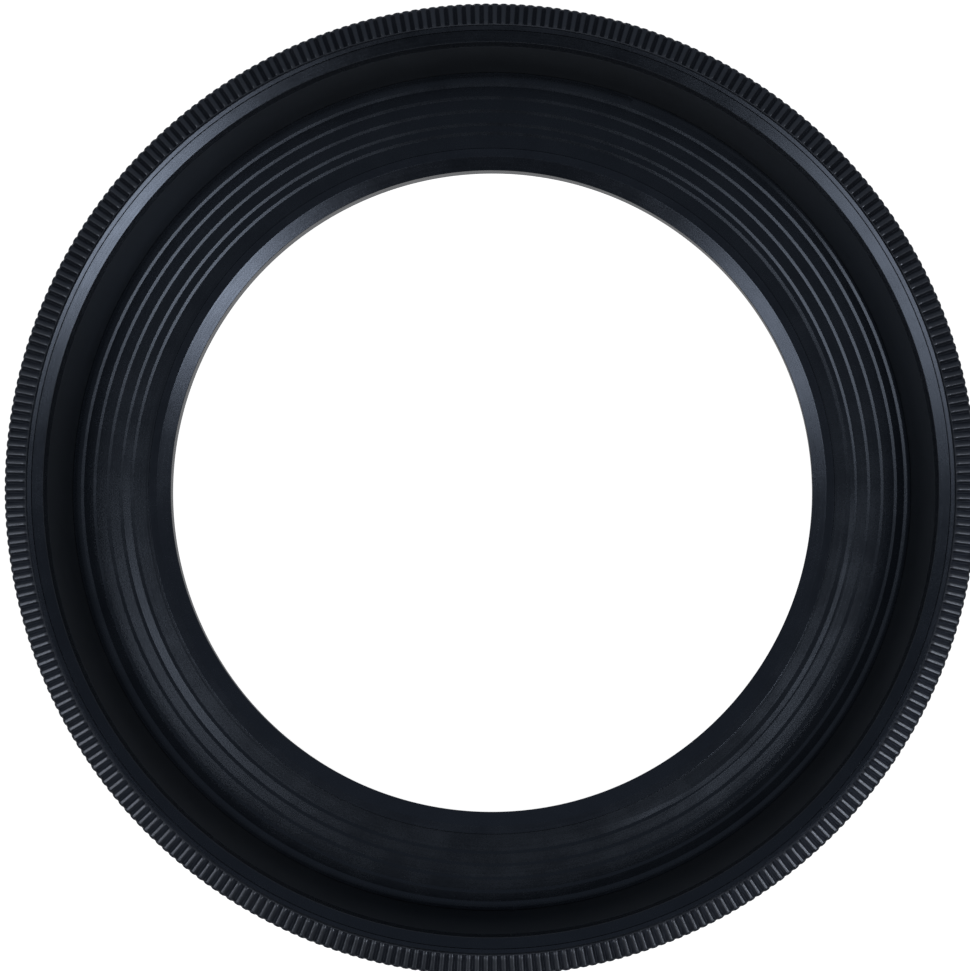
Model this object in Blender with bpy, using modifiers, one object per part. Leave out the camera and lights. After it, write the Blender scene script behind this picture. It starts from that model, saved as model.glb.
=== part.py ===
"""Screw-in lens hood: a shallow cup of turned, black anodised aluminium rings.

The optical axis is +Z, towards the open front. The origin is the centre of the rear thread's end
face. Each ring is built about that axis from its own seat, and then placed at the seat's height.
"""

import math

import bmesh
import bpy
from mathutils import Matrix, Vector

MM = 0.001

# Overall
RIM_Z = 15.9 * MM  # front edge of the barrel, above the rear end face
RING_STEPS = 72  # facets round each turned ring

# Rear mount ring, M52 x 0.75
THREAD_R = 26.0 * MM
THREAD_PITCH = 0.75 * MM
THREAD_DEPTH = 0.46 * MM
THREAD_START = 0.35 * MM
THREAD_END = 3.05 * MM
SEAT_Z = 3.6 * MM  # shoulder that meets the lens's front rim
UNDERCUT = 0.25 * MM  # relief groove in the shoulder, round the thread's foot
FLANGE_R = 29.0 * MM
FLANGE_TOP = 5.4 * MM
BOSS_R = 25.1 * MM
CREST_Z = 8.0 * MM  # narrow flat round the bore's mouth
CREST_R = 24.75 * MM
MOUTH_DROP = 0.38 * MM  # height of the mouth's chamfer
BORE_R = 23.75 * MM  # narrowest, at the foot of the mouth's chamfer
BORE_REAR_R = 24.3 * MM

# Barrel
BARREL_Z = 5.7 * MM
BARREL_FLOOR = 7.0 * MM
HUB_R = 25.4 * MM
WALL_FOOT_R = 30.8 * MM
WALL_TOP_R = 32.2 * MM
BEZEL_SHOULDER = 12.9 * MM
BODY_R = 33.6 * MM
SHOULDER_R = 34.3 * MM
SHOULDER_Z = 10.2 * MM
NECK_R = 33.3 * MM
SCREW_GROOVE_Z = 13.0 * MM

# Spiral-grooved floor
BAFFLE_Z = 7.2 * MM
BAFFLE_TOP = 7.9 * MM
BAFFLE_R = 30.65 * MM
BAFFLE_BORE_R = 25.38 * MM
SPIRAL_OUT_R = 30.55 * MM
SPIRAL_IN_R = 26.3 * MM
SPIRAL_TURNS = 4.42
SPIRAL_START = math.radians(-97.0)
GROOVE_DEPTH = 0.12 * MM

# Front bezel, screwed into the barrel's mouth
BEZEL_Z = 13.1 * MM
BEZEL_R = 32.9 * MM
BEZEL_TOP = 15.7 * MM
BEVEL_DROP = 0.3 * MM  # height of the inward-facing bevel
BEZEL_NECK_R = 32.75 * MM

# Knurled grip ring
GRIP_Z = 10.45 * MM
GRIP_TOP = 15.65 * MM
GRIP_R = 35.0 * MM
GRIP_BORE_R = 33.45 * MM
GRIP_LAND_R = 33.56 * MM  # inner edge of the front chamfer
CHAMFER_DROP = 0.5 * MM  # height of the front chamfer along the teeth's crests
KNURL_TEETH = 338
KNURL_DEPTH = 0.14 * MM

# Grub screws, M1.6
SCREW_COUNT = 3
SCREW_R = 0.78 * MM
SCREW_HOLE_R = 0.95 * MM
SCREW_LENGTH = 1.15 * MM
SCREW_TIP_R = 33.23 * MM


def clear_scene():
    for obj in list(bpy.data.objects):
        bpy.data.objects.remove(obj, do_unlink=True)


def new_collection(name, hidden=False):
    collection = bpy.data.collections.new(name)
    bpy.context.scene.collection.children.link(collection)
    collection.hide_render = hidden
    return collection


def anodised(name, colour, roughness):
    """Dyed, anodised aluminium in the given colour."""
    material = bpy.data.materials.new(name)
    material.use_nodes = True
    shader = material.node_tree.nodes["Principled BSDF"]
    shader.inputs["Base Color"].default_value = (*colour, 1.0)
    shader.inputs["Metallic"].default_value = 0.6
    shader.inputs["Roughness"].default_value = roughness
    return material


def add_object(name, mesh, collection, material=None, seat_z=0.0):
    obj = bpy.data.objects.new(name, mesh)
    collection.objects.link(obj)
    obj.location = (0.0, 0.0, seat_z)
    if material:
        mesh.materials.append(material)
    return obj


def shade(mesh):
    mesh.shade_smooth()
    mesh.set_sharp_from_angle(angle=math.radians(25.0))


def turned(name, seat_z, profile, collection, material):
    """A ring turned from a closed (radius, height) outline, listed clockwise from its outer top."""
    count = len(profile)
    mesh = bpy.data.meshes.new(name)
    edges = [(k, (k + 1) % count) for k in range(count)]
    mesh.from_pydata([(r, 0.0, z - seat_z) for r, z in profile], edges, [])
    obj = add_object(name, mesh, collection, material, seat_z)
    screw = obj.modifiers.new("Turn", "SCREW")
    screw.axis = "Z"
    screw.angle = 2 * math.pi
    screw.steps = screw.render_steps = RING_STEPS
    screw.use_merge_vertices = True
    screw.merge_threshold = 0.000001
    screw.use_smooth_shade = True
    return obj


def circle(bm, count, radius, height, offset=0.0, hand=1):
    """A ring of vertices; radius and height may be functions of the vertex's index."""
    points = []
    for k in range(count):
        angle = offset + hand * 2 * math.pi * k / count
        r = radius(k) if callable(radius) else radius
        z = height(k) if callable(height) else height
        points.append(bm.verts.new((r * math.cos(angle), r * math.sin(angle), z)))
    return points


def bridge(bm, first, second):
    """Faces between two rings of the same number of vertices."""
    count = len(first)
    for k in range(count):
        n = (k + 1) % count
        bm.faces.new((first[k], first[n], second[n], second[k]))


def bridge_unequal(bm, fine, coarse):
    """Triangles between two rings in one plane with different numbers of vertices."""
    a = b = 0
    while a < len(fine) or b < len(coarse):
        here, there = fine[a % len(fine)], coarse[b % len(coarse)]
        if b == len(coarse) or (a < len(fine) and (a + 1) * len(coarse) <= (b + 1) * len(fine)):
            bm.faces.new((here, fine[(a + 1) % len(fine)], there))
            a += 1
        else:
            bm.faces.new((here, coarse[(b + 1) % len(coarse)], there))
            b += 1


def wound_ring(name, seat_z, band, turns, across, relief, hand, start, rest, collection, material):
    """A ring whose outline has a band with a groove wound along it, like a screw thread.

    band gives the outline's two ends of the band, and rest the points from its second end back to
    its first. relief maps the phase across one turn's strip (0 to 1) to a shift along the band's
    outward normal, and it fades out at both ends of the groove.
    """
    steps = RING_STEPS
    (r0, z0), (r1, z1) = band
    length = math.hypot(r1 - r0, z1 - z0)
    normal = ((z0 - z1) / length, (r1 - r0) / length)
    if normal[1] < -0.5 or (abs(normal[1]) < 0.5 and normal[0] < 0):
        normal = (-normal[0], -normal[1])
    wound = round((turns - 1) * steps)
    whole = wound / steps + 1
    bm = bmesh.new()
    verts = {}

    def vert(i, j):
        while j >= across and i + steps <= wound:
            i, j = i + steps, j - across
        if (i, j) not in verts:
            phase = j / across
            t = (i / steps + phase) / whole
            ease = min(1.0, i / (0.15 * steps), (wound - i) / (0.15 * steps))
            shift = relief(phase) * ease * ease * (3 - 2 * ease) if j < across else 0.0
            r = r0 + (r1 - r0) * t + normal[0] * shift
            z = z0 + (z1 - z0) * t + normal[1] * shift - seat_z
            angle = start + hand * 2 * math.pi * (i % steps) / steps
            verts[i, j] = bm.verts.new((r * math.cos(angle), r * math.sin(angle), z))
        return verts[i, j]

    for i in range(wound):
        for j in range(across):
            bm.faces.new((vert(i, j), vert(i + 1, j), vert(i + 1, j + 1), vert(i, j + 1)))

    def ring_at(r, z):
        return circle(bm, steps, r, z - seat_z, start, hand)

    # The wedge between the first turn and the band's first edge.
    first = ring_at(r0, z0)
    bm.verts.remove(first[0])
    first[0] = vert(0, 0)
    bm.faces.new((first[0], first[1], vert(1, 0)))
    for k in range(1, steps - 1):
        bm.faces.new((first[k], first[k + 1], vert(k + 1, 0), vert(k, 0)))
    open_end = [vert(0, j) for j in range(across)]
    bm.faces.new([first[steps - 1]] + open_end + [vert(steps, 0), vert(steps - 1, 0)])

    # The wedge between the last turn and the band's second edge.
    last = ring_at(r1, z1)
    turned_by = wound % steps
    last = last[turned_by:] + last[:turned_by]
    bm.verts.remove(last[0])
    last[0] = vert(wound, across)
    base = wound - steps
    open_end = [vert(wound, j) for j in range(across - 1, -1, -1)]
    bm.faces.new([vert(base + 1, across), last[1], last[0]] + open_end)
    for k in range(1, steps - 1):
        bm.faces.new((vert(base + k, across), vert(base + k + 1, across), last[k + 1], last[k]))
    bm.faces.new((vert(wound - 1, across), last[0], last[steps - 1]))

    last = last[-turned_by:] + last[:-turned_by] if turned_by else last
    rows = [last] + [ring_at(r, z) for r, z in rest] + [first]
    for one, other in zip(rows, rows[1:]):
        bridge(bm, one, other)
    bmesh.ops.triangulate(bm, faces=[face for face in bm.faces if len(face.verts) > 4])
    bmesh.ops.recalc_face_normals(bm, faces=bm.faces)
    mesh = bpy.data.meshes.new(name)
    bm.to_mesh(mesh)
    bm.free()
    shade(mesh)
    return add_object(name, mesh, collection, material, seat_z)


def knurled_ring(name, seat_z, collection, material):
    """The grip: straight teeth that run over a sloping front chamfer, round a plain bore."""
    columns = 2 * KNURL_TEETH
    low, high = 0.0, GRIP_TOP - seat_z
    bm = bmesh.new()

    def teeth(crest, valley):
        """Even vertices stand on a tooth's crest, and odd ones between two teeth."""
        return lambda k: valley if k % 2 else crest

    side = teeth(GRIP_R, GRIP_R - KNURL_DEPTH)
    rows = [
        circle(bm, columns, GRIP_LAND_R, high),
        circle(
            bm, columns, teeth(GRIP_LAND_R + 0.24 * MM, GRIP_LAND_R + 0.12 * MM),
            teeth(high, high - 0.16 * MM),
        ),
        circle(bm, columns, side, teeth(high - CHAMFER_DROP, high - CHAMFER_DROP - 0.1 * MM)),
        circle(bm, columns, side, low + KNURL_DEPTH),
        circle(bm, columns, GRIP_R - 2 * KNURL_DEPTH, low),
    ]
    for one, other in zip(rows, rows[1:]):
        bridge(bm, one, other)
    bore_front = circle(bm, RING_STEPS, GRIP_BORE_R, high)
    bore_rear = circle(bm, RING_STEPS, GRIP_BORE_R, low)
    bridge(bm, bore_front, bore_rear)
    bridge_unequal(bm, rows[0], bore_front)
    bridge_unequal(bm, rows[-1], bore_rear)
    bmesh.ops.recalc_face_normals(bm, faces=bm.faces)
    mesh = bpy.data.meshes.new(name)
    bm.to_mesh(mesh)
    bm.free()
    shade(mesh)
    return add_object(name, mesh, collection, material, seat_z)


def radial(angle, radius, height):
    """A frame at a radius from the axis, with its Z pointing outwards."""
    turn = Matrix.Rotation(angle, 4, "Z") @ Matrix.Rotation(math.pi / 2, 4, "Y")
    return Matrix.Translation(Vector((0, 0, height))) @ turn @ Matrix.Translation((0, 0, radius))


def primitive(mesh_name, collection, build, material=None):
    bm = bmesh.new()
    build(bm)
    mesh = bpy.data.meshes.new(mesh_name)
    bm.to_mesh(mesh)
    bm.free()
    return add_object(mesh_name, mesh, collection, material)


def cutter(name, collection, build, matrix):
    obj = primitive(name, collection, build)
    obj.matrix_world = matrix
    obj.hide_render = True
    obj.display_type = "WIRE"
    return obj


def cut(obj, tool):
    boolean = obj.modifiers.new("Cut " + tool.name, "BOOLEAN")
    boolean.operation = "DIFFERENCE"
    boolean.solver = "EXACT"
    boolean.object = tool


def cylinder(radius, length, tip=1.0):
    """A cylinder centred on its frame, with its lower end narrowed to tip times its radius."""
    return lambda bm: bmesh.ops.create_cone(
        bm, cap_ends=True, segments=16, radius1=radius * tip, radius2=radius, depth=length
    )


def box(x, y, z):
    return lambda bm: bmesh.ops.create_cube(bm, size=1.0, matrix=Matrix.Diagonal((x, y, z, 1)))


def arc(centre, radius, start, end, count):
    """Points of an outline's rounded corner, between two angles in degrees."""
    angles = [math.radians(start + (end - start) * k / (count - 1)) for k in range(count)]
    r, z = centre
    return [(r + radius * math.cos(a), z + radius * math.sin(a)) for a in angles]


def build_mount_ring(parts, material):
    """Male thread, seat shoulder and the bore's chamfered mouth, in one turned ring."""
    root = THREAD_R - THREAD_DEPTH - 0.06 * MM
    rest = [
        (root, THREAD_END + 0.1 * MM),
        (root, SEAT_Z + UNDERCUT),
        (THREAD_R + 0.2 * MM, SEAT_Z + UNDERCUT),
        (THREAD_R + 0.2 * MM, SEAT_Z),
        (FLANGE_R - 0.2 * MM, SEAT_Z),
        (FLANGE_R, SEAT_Z + 0.2 * MM),
        (FLANGE_R, FLANGE_TOP - 0.2 * MM),
        (FLANGE_R - 0.2 * MM, FLANGE_TOP),
        (BOSS_R, FLANGE_TOP),
        (BOSS_R, CREST_Z - 0.05 * MM),
        (BOSS_R - 0.05 * MM, CREST_Z),
        (CREST_R, CREST_Z),
        (BORE_R, CREST_Z - MOUTH_DROP),
        (BORE_R, CREST_Z - MOUTH_DROP - 0.2 * MM),
        (BORE_REAR_R, 0.0),
        (THREAD_R - 0.4 * MM, 0.0),
    ]
    return wound_ring(
        "mount_ring", 0.0, ((THREAD_R, THREAD_START), (THREAD_R, THREAD_END)),
        (THREAD_END - THREAD_START) / THREAD_PITCH, 2,
        lambda phase: -THREAD_DEPTH * (1 - abs(2 * phase - 1)), 1, 0.0, rest, parts, material,
    )


def build_baffle(parts, material):
    """The cup's floor, with a saw-tooth groove wound inwards to a last, round groove."""
    rest = [
        (SPIRAL_IN_R - 0.2 * MM, BAFFLE_TOP - GROOVE_DEPTH),
        (BAFFLE_BORE_R + 0.12 * MM, BAFFLE_TOP + 0.04 * MM),
        (BAFFLE_BORE_R, BAFFLE_TOP - 0.04 * MM),
        (BAFFLE_BORE_R, BAFFLE_Z),
        (BAFFLE_R, BAFFLE_Z),
        (BAFFLE_R, BAFFLE_TOP - 0.1 * MM),
    ]

    def relief(phase):
        """A short flank that drops inwards, then a long land that climbs back."""
        return -GROOVE_DEPTH * (phase / 0.25 if phase < 0.25 else (1 - phase) / 0.75)

    return wound_ring(
        "baffle_ring", BAFFLE_Z, ((SPIRAL_OUT_R, BAFFLE_TOP), (SPIRAL_IN_R, BAFFLE_TOP)),
        SPIRAL_TURNS, 4, relief, -1, SPIRAL_START, rest, parts, material,
    )


def build_barrel(parts, material):
    """The cup's wall and the hub that the mount ring's boss turns in."""
    groove = 0.5 * MM
    corner = 2.2 * MM
    profile = [
        (NECK_R - 0.03 * MM, RIM_Z),
        (NECK_R, RIM_Z - 0.04 * MM),
        (NECK_R, SCREW_GROOVE_Z + groove),
        (NECK_R - 0.2 * MM, SCREW_GROOVE_Z + groove - 0.2 * MM),
        (NECK_R - 0.2 * MM, SCREW_GROOVE_Z - groove + 0.2 * MM),
        (NECK_R, SCREW_GROOVE_Z - groove),
        (NECK_R, SHOULDER_Z),
        (SHOULDER_R - 0.15 * MM, SHOULDER_Z),
        (SHOULDER_R, SHOULDER_Z - 0.15 * MM),
        (SHOULDER_R, SHOULDER_Z - 1.2 * MM),
        (BODY_R, SHOULDER_Z - 1.9 * MM),
    ]
    profile += arc((BODY_R - corner, BARREL_Z + corner), corner, 0, -90, 6)
    profile += [
        (HUB_R, BARREL_Z),
        (HUB_R, BARREL_FLOOR),
        (WALL_FOOT_R, BARREL_FLOOR),
        (WALL_TOP_R, BEZEL_SHOULDER),
        (BEZEL_NECK_R + 0.15 * MM, BEZEL_SHOULDER),
        (BEZEL_NECK_R + 0.15 * MM, BEZEL_TOP - 0.9 * MM),
        (BEZEL_R + 0.15 * MM, BEZEL_TOP - 0.9 * MM),
        (BEZEL_R + 0.15 * MM, RIM_Z - 0.14 * MM),
    ]
    return turned("barrel", BARREL_Z, profile, parts, material)


def build_bezel(parts, material):
    """The smooth, inward-facing ring at the front."""
    profile = [
        (BEZEL_R - 0.03 * MM, BEZEL_TOP),
        (BEZEL_R, BEZEL_TOP - 0.04 * MM),
        (BEZEL_R, BEZEL_TOP - 0.7 * MM),
        (BEZEL_NECK_R, BEZEL_TOP - 0.7 * MM),
        (BEZEL_NECK_R, BEZEL_Z),
        (WALL_TOP_R, BEZEL_Z),
        (WALL_TOP_R, BEZEL_TOP - BEVEL_DROP - 0.12 * MM),
        (WALL_TOP_R + 0.08 * MM, BEZEL_TOP - BEVEL_DROP),
    ]
    return turned("front_bezel", BEZEL_Z, profile, parts, material)


def build_grip(parts, tools, material, steel):
    """The knurled ring and the grub screws that lock it to the barrel."""
    grip = knurled_ring("grip_ring", GRIP_Z, parts, material)
    screws = []
    for k in range(SCREW_COUNT):
        angle = math.radians(90.0 + 360.0 * k / SCREW_COUNT)
        hole = cutter(
            f"grip_hole_{k + 1}", tools, cylinder(SCREW_HOLE_R, 3.0 * MM),
            radial(angle, GRIP_R - 0.6 * MM, SCREW_GROOVE_Z),
        )
        cut(grip, hole)
        middle = SCREW_TIP_R + SCREW_LENGTH / 2
        screw = primitive(f"grub_screw_{k + 1}", parts, cylinder(SCREW_R, SCREW_LENGTH, 0.7), steel)
        screw.matrix_world = radial(angle, middle, SCREW_GROOVE_Z)
        slot = cutter(
            f"screw_slot_{k + 1}", tools, box(0.25 * MM, 3 * SCREW_R, 0.8 * MM),
            radial(angle, middle + SCREW_LENGTH / 2, SCREW_GROOVE_Z),
        )
        cut(screw, slot)
        screws.append(screw)
    return grip, screws


def main():
    clear_scene()
    parts = new_collection("lens_hood")
    tools = new_collection("cutters", hidden=True)
    satin = anodised("black_anodised_satin", (0.016, 0.019, 0.025), 0.42)
    matt = anodised("black_anodised_matt", (0.012, 0.014, 0.018), 0.55)
    steel = anodised("blackened_steel", (0.03, 0.03, 0.032), 0.38)

    mount = build_mount_ring(parts, satin)
    axis = bpy.data.objects.new("hood_axis", None)
    parts.objects.link(axis)
    barrel = build_barrel(parts, matt)
    baffle = build_baffle(parts, matt)
    bezel = build_bezel(parts, satin)
    grip, screws = build_grip(parts, tools, satin, steel)
    axis.parent = mount
    for ring in (barrel, baffle, bezel, grip, *screws):
        ring.parent = axis


main()
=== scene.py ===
"""The lens hood's looks: finely turned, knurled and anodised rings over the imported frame.

Lengths in the outlines below are millimetres. Every ring turns about the frame's Z axis, and each
outline is a closed list of (radius, height), clockwise from the outer top.
"""

import math

import bmesh
import bpy
from mathutils import Matrix, Vector


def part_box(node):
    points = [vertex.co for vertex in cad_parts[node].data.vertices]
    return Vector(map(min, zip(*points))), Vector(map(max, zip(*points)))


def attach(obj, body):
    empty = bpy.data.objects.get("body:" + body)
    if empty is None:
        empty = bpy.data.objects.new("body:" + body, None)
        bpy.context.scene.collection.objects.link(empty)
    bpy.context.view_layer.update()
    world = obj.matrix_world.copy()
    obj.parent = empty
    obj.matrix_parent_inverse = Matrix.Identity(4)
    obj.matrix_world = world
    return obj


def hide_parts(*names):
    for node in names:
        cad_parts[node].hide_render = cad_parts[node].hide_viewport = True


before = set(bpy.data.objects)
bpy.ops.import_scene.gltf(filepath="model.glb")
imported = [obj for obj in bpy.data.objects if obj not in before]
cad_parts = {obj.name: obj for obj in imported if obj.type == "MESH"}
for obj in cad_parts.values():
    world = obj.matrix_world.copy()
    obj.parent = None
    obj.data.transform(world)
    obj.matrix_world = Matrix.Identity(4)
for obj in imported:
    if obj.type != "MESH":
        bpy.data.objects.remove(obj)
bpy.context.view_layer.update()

MM = 0.001
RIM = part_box("barrel")[1].z / MM
GRIP_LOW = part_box("grip_ring")[0].z / MM
GRIP_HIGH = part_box("grip_ring")[1].z / MM
BEZEL_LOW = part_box("front_bezel")[0].z / MM
BARREL_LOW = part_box("barrel")[0].z / MM
BAFFLE_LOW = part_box("baffle_ring")[0].z / MM
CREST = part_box("mount_ring")[1].z / MM
SCREW_HEIGHT = (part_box("grub_screw_1")[0].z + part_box("grub_screw_1")[1].z) / 2 / MM
FLOOR_TOP = 7.9
TEETH = 338

# Meshes: the faces round a plain ring, the steps round a softened corner, and the part of a turn over
# which a wound groove reaches its full depth
RING_STEPS = 720
CORNER_STEPS = 4
RUN_IN = 0.12

# The floor's groove: the width of the flank that drops, and its depth below the land's edge
GROOVE_FLANK = 0.22
GROOVE_DEPTH = 0.066

# The grub screws: the radius of their holes, half a screw's length, and where its inner end stands
SCREW_HOLE = 0.95
SCREW_HALF = 0.575
SCREW_TIP = 33.23

# Finish: how far the turning marks wander off true circles, how uneven the gloss is, how far the
# colour strays from its middle, and the lighter colour of the crests: partly rubbed wear, partly painted
# highlight
WANDER = 0.004
UNEVEN = 0.06
TINT = 0.28
RUBBED_AND_HIGHLIGHT = (0.18, 0.195, 0.225, 1)

# Light: how far the two key lights stand off the axis (degrees) and from the rim (metres), how bright
# the room looks in the metal, how much brighter it is above and behind, and how bright the floor looks
KEY_TILT = 33
KEY_AWAY = 0.6
ROOM_GLOW = 0.076
ROOM_SLANT = 1.2
FLOOR_GLOW = 0.3

# Camera: its lens and sensor, how far it stands from the middle of the rim, and two slopes against its
# line of sight, across and up: the hood's axis, and the ray to the middle of the rim
SENSOR_WIDTH = 36.0
FOCAL_LENGTH = 134.536
CAMERA_AWAY = 260.0
AXIS_SLOPES = (0.01076, -0.02014)
RIM_SLOPES = (0.001462, -0.0008)


# ---------------------------------------------------------------- outlines and meshes


def along(start, end, reach):
    """The point that lies reach from start towards end."""
    length = math.dist(start, end)
    return tuple(a + (b - a) * reach / length for a, b in zip(start, end))


def soften(outline, radius):
    """The closed outline with each corner rounded, and a support point beside each rounding."""
    rounded = []
    for k, corner in enumerate(outline):
        before, after = outline[k - 1], outline[(k + 1) % len(outline)]
        back = min(radius, 0.36 * math.dist(corner, before))
        ahead = min(radius, 0.36 * math.dist(corner, after))
        start, end = along(corner, before, back), along(corner, after, ahead)
        rounded.append(along(corner, before, back * 1.35))
        for s in range(CORNER_STEPS + 1):
            t = s / CORNER_STEPS
            rounded.append(tuple(
                (1 - t) ** 2 * a + 2 * t * (1 - t) * c + t * t * b
                for a, c, b in zip(start, corner, end)
            ))
        rounded.append(along(corner, after, ahead * 1.35))
    return rounded


def circle(bm, angles, radius, height):
    """A ring of vertices about the axis, one for each angle."""
    return [
        bm.verts.new((radius * MM * math.cos(a), radius * MM * math.sin(a), height * MM))
        for a in angles
    ]


def even_angles(count, start=0.0, hand=1):
    return [start + hand * 2 * math.pi * k / count for k in range(count)]


def bridge(bm, one, other):
    """Joins two rings with as many vertices each."""
    for k in range(len(one)):
        n = (k + 1) % len(one)
        bm.faces.new((one[k], one[n], other[n], other[k]))


def fan_bridge(bm, fine, coarse):
    """Joins two rings when the first has a whole number of vertices for each of the second's."""
    ratio = len(fine) // len(coarse)
    for k in range(len(coarse)):
        n = (k + 1) % len(coarse)
        near = [fine[(k * ratio + s) % len(fine)] for s in range(ratio + 1)]
        for s in range(ratio):
            bm.faces.new((near[s], near[s + 1], coarse[k if s < ratio / 2 else n]))
            if s == (ratio - 1) // 2:
                bm.faces.new((near[s + 1], coarse[n], coarse[k]))


def add_object(name, data):
    obj = bpy.data.objects.new(name, data)
    bpy.context.scene.collection.objects.link(obj)
    return obj


def add_mesh(name, bm):
    """Makes an object of the built mesh, which is used up."""
    mesh = bpy.data.meshes.new(name)
    bm.to_mesh(mesh)
    bm.free()
    return add_object(name, mesh)


def add_solid(name, bm):
    """Makes an object of a closed mesh, with every face turned outwards."""
    bmesh.ops.recalc_face_normals(bm, faces=bm.faces)
    return add_mesh(name, bm)


def dress(obj, node, body, material):
    """Finishes the piece that is shown in place of a CAD node."""
    obj.data.materials.clear()
    obj.data.materials.append(material)
    obj.data.shade_smooth()
    obj.data.set_sharp_from_angle(angle=math.radians(38))
    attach(obj, body)
    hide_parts(node)
    return obj


def turned_ring(name, outline):
    """A solid turned from a closed outline of (radius, height)."""
    bm = bmesh.new()
    angles = even_angles(RING_STEPS)
    rows = [circle(bm, angles, r, z) for r, z in outline]
    for one, other in zip(rows, rows[1:] + rows[:1]):
        bridge(bm, one, other)
    return add_solid(name, bm)


def wound_band(bm, band, turns, phases, relief, hand, start, steps, feed, run_out=RUN_IN):
    """A groove wound like a thread along the band from its first (radius, height) to its second.

    Returns the rings of vertices at the band's two ends. The phases split the strip of one turn.
    At a phase, relief gives the place across the strip, and the shift along the band's outward
    normal, which fades over part of a turn at both ends. The feed, from 0 to 1, is how far along
    the band the tool is after a number of turns. The hand is 1 when the groove winds anticlockwise
    seen from the front, and -1 when it winds clockwise.
    """
    (r0, z0), (r1, z1) = band
    length = math.hypot(r1 - r0, z1 - z0)
    normal = ((z1 - z0) / length, (r0 - r1) / length)
    across = len(phases)
    wound = round((turns - 1) * steps)
    verts = {}

    def angle(i):
        return start + hand * 2 * math.pi * (i % steps) / steps

    def vert(i, j):
        while j >= across and i + steps <= wound:
            i, j = i + steps, j - across
        if (i, j) not in verts:
            here, beyond = feed(i / steps), feed(i / steps + 1)
            phase = phases[j] if j < across else 1.0
            place, shift = relief(phase, length * (beyond - here), i / steps)
            t = here + (beyond - here) * place
            ease = min(1.0, i / (RUN_IN * steps), (wound - i) / (run_out * steps))
            shift *= ease * ease * (3 - 2 * ease)
            r = r0 + (r1 - r0) * t + normal[0] * shift
            z = z0 + (z1 - z0) * t + normal[1] * shift
            verts[i, j] = circle(bm, [angle(i)], r, z)[0]
        return verts[i, j]

    for i in range(wound):
        for j in range(across):
            bm.faces.new((vert(i, j), vert(i + 1, j), vert(i + 1, j + 1), vert(i, j + 1)))

    first = [vert(0, 0)] + circle(bm, [angle(k) for k in range(1, steps)], r0, z0)
    bm.faces.new((first[0], first[1], vert(1, 0)))
    for k in range(1, steps - 1):
        bm.faces.new((first[k], first[k + 1], vert(k + 1, 0), vert(k, 0)))
    end = [vert(0, j) for j in range(across)]
    for one, other in zip(end, end[1:] + [vert(steps, 0)]):
        bm.faces.new((first[-1], one, other))
    bm.faces.new((first[-1], vert(steps, 0), vert(steps - 1, 0)))

    base = wound - steps
    last = [vert(wound, across)]
    last += circle(bm, [angle(wound + k) for k in range(1, steps)], r1, z1)
    end = [last[0]] + [vert(wound, j) for j in range(across - 1, -1, -1)]
    for one, other in zip(end, end[1:]):
        bm.faces.new((last[1], one, other))
    bm.faces.new((last[1], end[-1], vert(base + 1, across)))
    for k in range(1, steps - 1):
        bm.faces.new((vert(base + k, across), vert(base + k + 1, across), last[k + 1], last[k]))
    bm.faces.new((vert(wound - 1, across), last[0], last[-1]))
    shift = wound % steps
    return first, last[-shift:] + last[:-shift] if shift else last


def close_ring(bm, first, last, outline, start, hand, steps):
    """Runs the rest of the outline from the band's last ring back round to its first."""
    rows = [last] + [circle(bm, even_angles(steps, start, hand), r, z) for r, z in outline] + [first]
    for one, other in zip(rows, rows[1:]):
        bridge(bm, one, other)


# ---------------------------------------------------------------- materials


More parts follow.
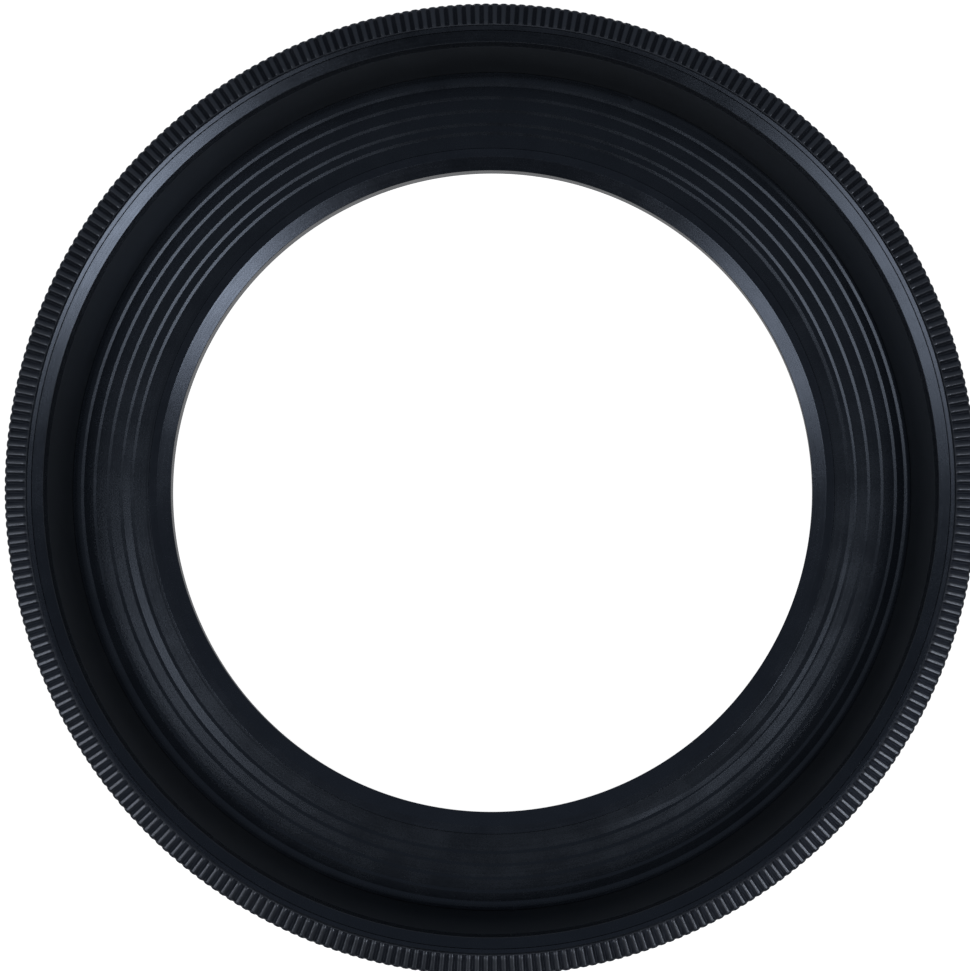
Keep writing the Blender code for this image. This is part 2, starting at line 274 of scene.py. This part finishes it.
def anodised(name, colour, roughness, mark_depth, grain_depth, wear_and_highlight=0.0, sheen=0.0):
    """Dyed, anodised aluminium: turning marks round the axis, a fine grain and uneven gloss."""
    material = bpy.data.materials.new(name)
    material.use_nodes = True
    nodes, links = material.node_tree.nodes, material.node_tree.links
    shader = nodes["Principled BSDF"]
    shader.inputs["Metallic"].default_value = 0.9
    shader.inputs["IOR"].default_value = 1.5
    shader.inputs["Sheen Weight"].default_value = sheen
    shader.inputs["Sheen Roughness"].default_value = 0.5

    def math_node(operation, *values):
        node = nodes.new("ShaderNodeMath")
        node.operation = operation
        for slot, value in zip(node.inputs, values):
            if isinstance(value, (int, float)):
                slot.default_value = value
            else:
                links.new(value, slot)
        return node.outputs[0]

    def noise(vector, scale, detail=2.0, roughness=0.5):
        node = nodes.new("ShaderNodeTexNoise")
        node.inputs["Scale"].default_value = scale
        node.inputs["Detail"].default_value = detail
        node.inputs["Roughness"].default_value = roughness
        links.new(vector, node.inputs["Vector"])
        return node.outputs["Fac"]

    def bump(height, distance, under=None):
        node = nodes.new("ShaderNodeBump")
        node.inputs["Distance"].default_value = distance * MM
        node.inputs["Strength"].default_value = 1.0
        links.new(height, node.inputs["Height"])
        if under:
            links.new(under, node.inputs["Normal"])
        return node.outputs["Normal"]

    place = nodes.new("ShaderNodeTexCoord").outputs["Object"]
    split = nodes.new("ShaderNodeSeparateXYZ")
    links.new(place, split.inputs[0])
    x, y, z = split.outputs
    squares = math_node("ADD", math_node("MULTIPLY", x, x), math_node("MULTIPLY", y, y))
    radius = math_node("SQRT", squares)
    lathe = nodes.new("ShaderNodeCombineXYZ")
    links.new(math_node("ADD", radius, math_node("MULTIPLY", x, WANDER)), lathe.inputs[0])
    links.new(math_node("ADD", z, math_node("MULTIPLY", y, WANDER)), lathe.inputs[1])
    links.new(math_node("MULTIPLY", math_node("ADD", x, y), WANDER), lathe.inputs[2])

    marks = noise(lathe.outputs[0], 9000.0, 3.0, 0.6)
    grain = noise(place, 9500.0, 2.0, 0.6)
    cloud = noise(place, 420.0, 3.0, 0.55)
    normal = bump(marks, mark_depth)
    normal = bump(grain, grain_depth, normal)
    links.new(normal, shader.inputs["Normal"])

    speckle = math_node("MULTIPLY", math_node("SUBTRACT", grain, 0.5), 2.0 * UNEVEN)
    patch = math_node("MULTIPLY", math_node("SUBTRACT", cloud, 0.5), 2.2 * UNEVEN)
    streak = math_node("MULTIPLY", math_node("SUBTRACT", marks, 0.5), 1.6 * UNEVEN)
    rough = math_node("ADD", math_node("ADD", speckle, patch), math_node("ADD", streak, roughness))
    links.new(rough, shader.inputs["Roughness"])

    tint = nodes.new("ShaderNodeMix")
    tint.data_type = "RGBA"
    tint.inputs[6].default_value = (*[c * (1 - TINT) for c in colour], 1)
    tint.inputs[7].default_value = (*[c * (1 + TINT) for c in colour], 1)
    shade = math_node("ADD", math_node("MULTIPLY", cloud, 0.4), math_node("MULTIPLY", grain, 0.6))
    links.new(shade, tint.inputs[0])
    surface = tint.outputs[2]
    # Lighter colour in patches on the crests: partly rubbed wear, partly a painted highlight
    if wear_and_highlight:
        edge = nodes.new("ShaderNodeAttribute")
        edge.attribute_name = "crest"
        rubbed_and_highlight = nodes.new("ShaderNodeMix")
        rubbed_and_highlight.data_type = "RGBA"
        crest_wear_and_highlight = math_node("MULTIPLY", edge.outputs["Fac"], math_node("MULTIPLY", cloud, wear_and_highlight))
        links.new(crest_wear_and_highlight, rubbed_and_highlight.inputs[0])
        links.new(surface, rubbed_and_highlight.inputs[6])
        rubbed_and_highlight.inputs[7].default_value = RUBBED_AND_HIGHLIGHT
        surface = rubbed_and_highlight.outputs[2]
    links.new(surface, shader.inputs["Base Color"])
    return material


satin = anodised("satin_black_anodised", (0.085, 0.100, 0.130), 0.25, 0.0016, 0.0010)
rim_satin = anodised("rim_black_anodised", (0.070, 0.083, 0.108), 0.25, 0.0016, 0.0012)
lip_satin = anodised("lip_black_anodised", (0.080, 0.094, 0.122), 0.28, 0.0016, 0.0014)
matt = anodised("matt_black_inside", (0.085, 0.100, 0.122), 0.5, 0.0016, 0.0014, sheen=0.045)
grooved = anodised("grooved_black_anodised", (0.075, 0.088, 0.112), 0.26, 0.0014, 0.0012)
# Its crests are lighter in patches: partly rubbed wear, partly a painted highlight
knurled = anodised("knurled_black_anodised", (0.132, 0.146, 0.176), 0.35, 0.0006, 0.0014, wear_and_highlight=0.4)
steel = anodised("blackened_steel", (0.16, 0.16, 0.165), 0.30, 0.0010, 0.0012)


# ---------------------------------------------------------------- mount ring


def build_mount_ring():
    """The ring that screws into the lens: thread, shoulder, boss, crest and chamfered bore."""
    steps, hand, start, turns = 480, 1, 0.0, 3.6
    bm = bmesh.new()

    def feed(turned):
        return turned / turns

    def thread(phase, _width, _turned):
        """A 60 degree thread with a narrow flat crest and a rounded root."""
        depth = (1 - abs(2 * phase - 1) - 0.12) / 0.66
        depth = min(1.0, max(0.0, depth))
        if depth > 0.8:
            depth = 0.8 + 0.2 * math.sin((depth - 0.8) * 2.5 * math.pi)
        return phase, -0.46 * depth

    phases = [0.0, 0.06, 0.12, 0.22, 0.32, 0.38, 0.44, 0.5, 0.56, 0.62, 0.68, 0.78, 0.88, 0.94]
    first, last = wound_band(
        bm, ((26.0, 0.35), (26.0, 3.05)), turns, phases, thread, hand, start, steps, feed
    )
    outline = soften([
        (25.98, 3.08), (25.48, 3.2), (25.48, 3.85), (26.2, 3.85), (26.2, 3.6), (28.85, 3.6), (29.0, 3.75),
        (29.0, 5.25), (28.85, 5.4), (25.1, 5.4), (25.1, 7.2), (25.355, 7.3),
        (25.355, CREST), (24.75, CREST - 0.02), (23.75, CREST - 0.45), (23.75, CREST - 0.6), (24.3, 0.06),
        (24.36, 0.0), (25.55, 0.0), (25.98, 0.31),
    ], 0.03)
    close_ring(bm, first, last, outline, start, hand, steps)
    mount = add_solid("mount_ring_turned", bm)
    dress(mount, "mount_ring", "mount", satin)


# ---------------------------------------------------------------- barrel, bezel and floor


def build_barrel():
    """The cup, whose inside has a rougher, matt finish."""
    corner = [
        (31.4 + 2.2 * math.cos(a), BARREL_LOW + 2.2 + 2.2 * math.sin(a))
        for a in (math.radians(-9.0 * k) for k in range(11))
    ]
    seat = BEZEL_LOW - 0.2
    outline = soften([
        (32.995, RIM - 0.12), (33.28, RIM), (33.3, RIM - 0.03),
        (33.3, SCREW_HEIGHT + 0.5), (33.1, SCREW_HEIGHT + 0.3),
        (33.1, SCREW_HEIGHT - 0.3), (33.3, SCREW_HEIGHT - 0.5),
        (33.3, 10.2), (34.15, 10.2), (34.3, 10.05), (34.3, 9.0), (33.6, 8.3),
    ], 0.02) + corner + soften([
        (25.4, BARREL_LOW), (25.4, 7.0), (30.8, 7.0), (32.2, seat), (32.9, seat),
        (32.9, RIM - 1.1), (32.995, RIM - 1.1),
    ], 0.01)
    barrel = turned_ring("barrel_turned", outline)
    dress(barrel, "barrel", "hood", lip_satin)
    barrel.data.materials.append(matt)
    wall_end, floor_seat = 32.5 * MM, 6.9 * MM
    for face in barrel.data.polygons:
        inside = math.hypot(face.center.x, face.center.y) < wall_end and face.center.z > floor_seat
        face.material_index = 1 if inside and face.normal.z > 0 else 0


def build_bezel():
    """The smooth ring in the barrel's mouth, whose bevel faces inwards."""
    top = BEZEL_LOW + 2.6
    outline = soften([
        (32.965, top + 0.01), (32.98, top - 0.01), (32.98, top - 0.7), (32.75, top - 0.7),
        (32.75, BEZEL_LOW), (32.2, BEZEL_LOW), (32.2, top - 0.36), (32.22, top - 0.31),
    ], 0.01)
    bezel = turned_ring("front_bezel_turned", outline)
    dress(bezel, "front_bezel", "bezel", rim_satin)


def build_floor():
    """The floor, with a groove wound in a spiral from the wall to the bore."""
    steps, hand, start = RING_STEPS, -1, math.radians(70)
    path = [  # turns, radius
        (0.0, 30.84), (0.78, 30.32), (1.11, 30.04), (4.11, 27.09), (4.35, 26.89),
        (4.78, 26.64), (5.11, 26.53), (5.35, 26.48), (5.45, 25.6), (6.35, 25.5),
    ]
    bm = bmesh.new()

    def feed(turned):
        """A pitch of almost 1 mm, slower where the tool goes in and comes out."""
        for (t0, r0), (t1, r1) in zip(path, path[1:]):
            if turned <= t1:
                break
        radius = r0 + (r1 - r0) * min(1.0, (turned - t0) / (t1 - t0))
        return (radius - path[0][1]) / (path[-1][1] - path[0][1])

    def groove(phase, width, turned):
        """A short flank that drops inwards, then a long land that climbs back.

        The cut is lighter where the pitch is fine, and its flank fades out at the end.
        """
        bite = min(1.0, max(0.4, (width - 0.35) / 0.2))
        fade = max(0.0, (turned - 5.0) / 0.35)
        flank = min(0.5, GROOVE_FLANK * bite * (1 + 0.6 * fade) / width)
        depth = GROOVE_DEPTH * bite * (1 - 0.3 * fade)
        if phase < 0.25:
            return flank * phase / 0.25, -depth * phase / 0.25
        return flank + (1 - flank) * (phase - 0.25) / 0.75, -depth * (1 - phase) / 0.75

    phases = [0.0, 0.015, 0.035, 0.08, 0.13, 0.18, 0.22, 0.24, 0.25, 0.26, 0.29, 0.4, 0.6, 0.8, 0.93, 0.98]
    first, last = wound_band(
        bm, ((path[0][1], FLOOR_TOP), (path[-1][1], FLOOR_TOP)), path[-1][0], phases, groove,
        hand, start, steps, feed, run_out=0.06
    )
    outline = soften([
        (25.47, FLOOR_TOP + 0.001), (25.37, FLOOR_TOP + 0.008), (25.37, BAFFLE_LOW), (30.8, BAFFLE_LOW),
        (30.98, FLOOR_TOP - 0.08), (30.98, FLOOR_TOP - 0.02), (30.87, FLOOR_TOP - 0.005),
    ], 0.01)
    close_ring(bm, first, last, outline, start, hand, steps)
    floor = add_solid("baffle_ring_turned", bm)
    dress(floor, "baffle_ring", "hood", grooved)


# ---------------------------------------------------------------- grip ring and its screws


def radial(angle, radius, height):
    """A frame on the ring's side with its Z pointing outwards."""
    turn = Matrix.Rotation(angle, 4, "Z") @ Matrix.Rotation(math.pi / 2, 4, "Y")
    return Matrix.Translation((0, 0, height * MM)) @ turn @ Matrix.Translation((0, 0, radius * MM))


SCREW_ANGLES = [math.radians(90 + 120 * k) for k in range(3)]


def cut(obj, build):
    """Cuts the shape that build makes out of obj, and keeps the result as its mesh."""
    bm = bmesh.new()
    build(bm)
    tool = add_mesh("cutter", bm)
    boolean = obj.modifiers.new("Cut", "BOOLEAN")
    boolean.object = tool
    boolean.solver = "EXACT"
    graph = bpy.context.evaluated_depsgraph_get()
    result = bpy.data.meshes.new_from_object(obj.evaluated_get(graph))
    obj.modifiers.clear()
    obj.data = result
    bpy.data.objects.remove(tool)


def build_grip():
    """Teeth that stand on the ring's side and run over its front chamfer to rounded ends."""
    shape = [  # place across a tooth and height between its valley, 0, and its crest, 1
        (0.0, 1.0), (0.07, 0.997), (0.13, 0.987), (0.18, 0.955), (0.23, 0.88), (0.29, 0.68), (0.39, 0.25),
        (0.5, 0.0), (0.61, 0.25), (0.71, 0.68), (0.77, 0.88), (0.82, 0.955), (0.87, 0.987), (0.93, 0.997),
    ]
    high, low = GRIP_HIGH, GRIP_LOW
    rows = [  # valley radius and height, crest radius and height
        (33.35, high - 0.040, 33.35, high - 0.040),
        (33.46, high - 0.010, 33.46, high - 0.010),
        (33.475, high - 0.013, 33.475, high - 0.008),
        (33.485, high - 0.120, 33.485, high - 0.007),
        (33.51, high - 0.200, 33.51, high - 0.005),
        (33.60, high - 0.220, 33.60, high),
        (33.68, high - 0.232, 33.68, high - 0.004),
        (33.76, high - 0.245, 33.76, high - 0.020),
        (33.88, high - 0.270, 33.88, high - 0.049),
        (34.40, high - 0.380, 34.40, high - 0.174),
        (34.76, high - 0.450, 34.78, high - 0.265),
        (34.84, high - 0.475, 34.88, high - 0.290),
        (34.91, high - 0.530, 34.95, high - 0.330),
        (34.94, high - 0.600, 34.985, high - 0.395),
        (34.94, high - 0.720, 35.0, high - 0.510),
        (34.94, low + 0.35, 35.0, low + 0.35),
        (34.90, low + 0.18, 34.97, low + 0.20),
        (34.80, low + 0.07, 34.88, low + 0.08),
        (34.72, low + 0.02, 34.76, low + 0.02),
        (34.68, low, 34.68, low),
    ]
    bm = bmesh.new()
    crest = bm.verts.layers.float.new("crest")
    columns = [(2 * math.pi * (tooth + at) / TEETH, up) for tooth in range(TEETH) for at, up in shape]
    rings = []
    for valley_r, valley_z, crest_r, crest_z in rows:
        stands_out = crest_z - valley_z > 0.1 or crest_r > 34.9
        ring = []
        for angle, up in columns:
            radius = valley_r + (crest_r - valley_r) * up
            vert = circle(bm, [angle], radius, valley_z + (crest_z - valley_z) * up)[0]
            # The crest value lightens the colour of the teeth's peaks: partly rubbed wear, partly a
            # painted highlight
            vert[crest] = up if stands_out else 0.0
            ring.append(vert)
        rings.append(ring)
    for one, other in zip(rings, rings[1:]):
        bridge(bm, one, other)
    bore = [
        circle(bm, even_angles(2 * TEETH), r, z)
        for r, z in ((33.345, high - 0.043), (33.33, high - 0.06), (33.33, low + 0.08), (33.51, low))
    ]
    for one, other in zip(bore, bore[1:]):
        bridge(bm, one, other)
    fan_bridge(bm, rings[0], bore[0])
    fan_bridge(bm, rings[-1], bore[-1])
    grip = add_solid("grip_ring_knurled", bm)

    def holes(bm):
        for angle in SCREW_ANGLES:
            bmesh.ops.create_cone(
                bm, cap_ends=True, segments=48, radius1=SCREW_HOLE * MM, radius2=SCREW_HOLE * MM,
                depth=3 * MM, matrix=radial(angle, 34.4, SCREW_HEIGHT),
            )

    cut(grip, holes)
    dress(grip, "grip_ring", "hood", knurled)


def build_screw(index, angle):
    """A slotted grub screw, seen at the bottom of its hole."""
    bm = bmesh.new()
    outline = [(0.62, -SCREW_HALF), (0.78, -0.42), (0.78, 0.45), (0.66, SCREW_HALF)]
    rings = [circle(bm, even_angles(48), r, z) for r, z in outline]
    for one, other in zip(rings, rings[1:]):
        bridge(bm, one, other)
    bm.faces.new(rings[0])
    bm.faces.new(rings[-1])
    screw = add_solid(f"grub_screw_{index}_slotted", bm)

    def slot(bm):
        place = Matrix.Translation((0, 0, SCREW_HALF * MM)) @ Matrix.Rotation(0.5 + index, 4, "Z")
        size = Matrix.Diagonal((0.26 * MM, 3 * MM, 0.8 * MM, 1))
        bmesh.ops.create_cube(bm, size=1.0, matrix=place @ size)

    cut(screw, slot)
    screw.matrix_world = radial(angle, SCREW_TIP + SCREW_HALF, SCREW_HEIGHT)
    dress(screw, f"grub_screw_{index}", "hood", steel)


build_mount_ring()
build_barrel()
build_bezel()
build_floor()
build_grip()
for number, screw_angle in enumerate(SCREW_ANGLES, 1):
    build_screw(number, screw_angle)


# ---------------------------------------------------------------- camera, light and floor


def build_camera():
    """Looks into the cup from in front, a hand's length away and a little off its axis."""
    axis = Vector((*AXIS_SLOPES, -1.0)).normalized()
    camera = bpy.data.cameras.new("camera")
    camera.sensor_fit = "HORIZONTAL"
    camera.sensor_width = SENSOR_WIDTH
    camera.lens = FOCAL_LENGTH
    camera.clip_start = 0.01
    obj = add_object("camera", camera)
    turn = axis.rotation_difference(Vector((0, 0, -1)))
    to_rim = turn @ Vector((*RIM_SLOPES, -1.0)) * (CAMERA_AWAY * MM)
    obj.matrix_world = Matrix.Translation(Vector((0, 0, RIM * MM)) - to_rim) @ turn.to_matrix().to_4x4()
    bpy.context.scene.camera = obj


def add_light(name, azimuth, size, power):
    """A round key light, tilted off the axis and aimed at the middle of the rim."""
    light = bpy.data.lights.new(name, "AREA")
    light.shape = "DISK"
    light.size = size
    light.energy = power
    obj = add_object(name, light)
    a, t = math.radians(azimuth), math.radians(KEY_TILT)
    toward = Vector((math.sin(t) * math.cos(a), math.sin(t) * math.sin(a), math.cos(t)))
    obj.location = toward * KEY_AWAY + Vector((0, 0, RIM * MM))
    obj.rotation_euler = toward.to_track_quat("Z", "Y").to_euler()


def build_stage():
    """White paper under the hood, which looks dimmer in the metal than to the eye."""
    bm = bmesh.new()
    bmesh.ops.create_circle(bm, cap_ends=True, segments=96, radius=3.0)
    floor = add_mesh("floor", bm)
    paper = bpy.data.materials.new("white_paper")
    paper.use_nodes = True
    nodes, links = paper.node_tree.nodes, paper.node_tree.links
    shader = nodes["Principled BSDF"]
    shader.inputs["Base Color"].default_value = (0.9, 0.9, 0.9, 1)
    shader.inputs["Roughness"].default_value = 0.9
    shader.inputs["Emission Color"].default_value = (1, 1, 1, 1)
    shader.inputs["Emission Strength"].default_value = 0.98
    glow = nodes.new("ShaderNodeEmission")
    glow.inputs["Strength"].default_value = FLOOR_GLOW
    mix = nodes.new("ShaderNodeMixShader")
    links.new(nodes.new("ShaderNodeLightPath").outputs["Is Camera Ray"], mix.inputs[0])
    links.new(glow.outputs[0], mix.inputs[1])
    links.new(shader.outputs[0], mix.inputs[2])
    links.new(mix.outputs[0], nodes["Material Output"].inputs["Surface"])
    floor.data.materials.append(paper)
    floor.location.z = -0.02 * MM  # just clear of the thread's end, so that the two don't flicker


def build_room():
    """A white room to the eye, and a dim one in the metal, brighter above and behind."""
    world = bpy.data.worlds.new("studio")
    bpy.context.scene.world = world
    world.use_nodes = True
    nodes, links = world.node_tree.nodes, world.node_tree.links
    seen = nodes["Background"]
    seen.inputs["Color"].default_value = (1, 1, 1, 1)
    seen.inputs["Strength"].default_value = 1.0
    dim = nodes.new("ShaderNodeBackground")
    dim.inputs["Color"].default_value = (0.8, 0.88, 1, 1)
    split = nodes.new("ShaderNodeSeparateXYZ")
    links.new(nodes.new("ShaderNodeTexCoord").outputs["Generated"], split.inputs[0])
    slant = nodes.new("ShaderNodeMath")
    slant.operation = "MULTIPLY"
    links.new(split.outputs[1], slant.inputs[0])
    links.new(split.outputs[2], slant.inputs[1])
    glow = nodes.new("ShaderNodeMath")
    glow.operation = "MULTIPLY_ADD"
    links.new(slant.outputs[0], glow.inputs[0])
    glow.inputs[1].default_value = ROOM_GLOW * ROOM_SLANT
    glow.inputs[2].default_value = ROOM_GLOW
    links.new(glow.outputs[0], dim.inputs["Strength"])
    path = nodes.new("ShaderNodeLightPath")
    mix = nodes.new("ShaderNodeMixShader")
    links.new(path.outputs["Is Camera Ray"], mix.inputs[0])
    links.new(dim.outputs[0], mix.inputs[1])
    links.new(seen.outputs[0], mix.inputs[2])
    links.new(mix.outputs[0], nodes["World Output"].inputs["Surface"])
    bpy.context.scene.view_settings.view_transform = "Standard"


build_camera()
add_light("key_right", azimuth=-36, size=0.18, power=0.38)
add_light("key_left", azimuth=207, size=0.24, power=0.30)
build_stage()
build_room()
